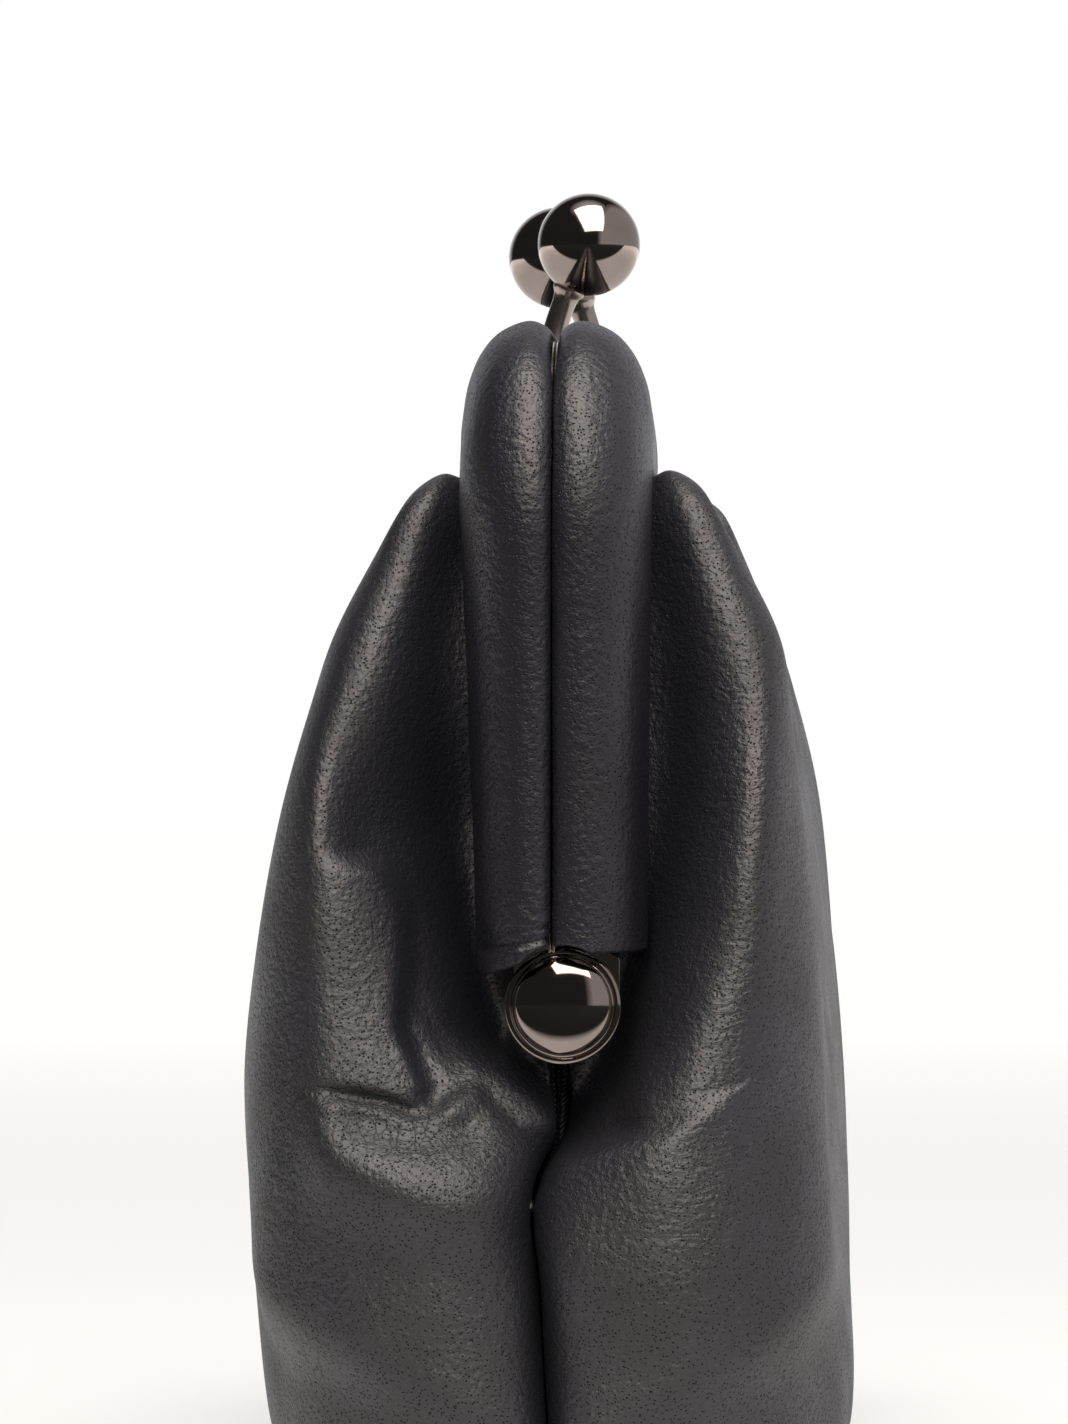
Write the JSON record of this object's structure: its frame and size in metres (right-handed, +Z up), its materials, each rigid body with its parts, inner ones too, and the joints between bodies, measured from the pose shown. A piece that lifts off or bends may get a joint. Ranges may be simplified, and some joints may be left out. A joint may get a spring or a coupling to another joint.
{
  "type": "clasp frame wallet",
  "caption": "Soft black leather wallet with a leather-covered clasp frame that turns on a rivet at each end and is held shut by balls that snap past each other.",
  "frame": {"origin": "middle of the base, on the surface the wallet stands on, midway between the hinges", "axes": "+X along the hinge line to the pictured end, -Y to the front half, +Z up"},
  "size_m": [0.189, 0.0608, 0.135],
  "materials": {
    "leather": "soft black lambskin, satin, fine pores",
    "lining": "matt black twill",
    "frame_steel": "bright pressed steel with a warm tint",
    "dark_nickel": "polished dark nickel plate",
    "padding": "white wadding",
    "paper": "twisted paper",
    "board": "grey board"
  },
  "bodies": {
    "pouch": {"front_panel": "leather", "back_panel": "leather", "base_panel": "leather", "base_board": "board", "front_lining": "lining", "back_lining": "lining", "card_pocket": "lining"},
    "front_half": {"front_frame": "frame_steel", "front_paper_cord": "paper", "front_frame_padding": "padding", "front_frame_cover": "leather", "front_clasp_stem": "dark_nickel", "front_clasp_ball": "dark_nickel"},
    "back_half": {"back_frame": "frame_steel", "back_paper_cord": "paper", "back_frame_padding": "padding", "back_frame_cover": "leather", "back_clasp_stem": "dark_nickel", "back_clasp_ball": "dark_nickel", "left_hinge_rivet": "dark_nickel", "left_hinge_washer": "dark_nickel", "right_hinge_rivet": "dark_nickel", "right_hinge_washer": "dark_nickel"}
  },
  "joints": [
    {"name": "front_frame_hinge", "type": "hinge", "parent": "pouch", "child": "front_half", "pos_m": [0, 0.0011, 0.05], "axis": [1, 0, 0], "range_deg": [0, 30], "deforming": ["front_panel", "front_lining"]},
    {"name": "back_frame_hinge", "type": "hinge", "parent": "pouch", "child": "back_half", "pos_m": [0, 0.0011, 0.05], "axis": [1, 0, 0], "range_deg": [-30, 0], "deforming": ["back_panel", "back_lining", "card_pocket"]}
  ],
  "couplings": [
    {"joint": "back_frame_hinge", "follows": "front_frame_hinge", "ratio": -1}
  ]
}
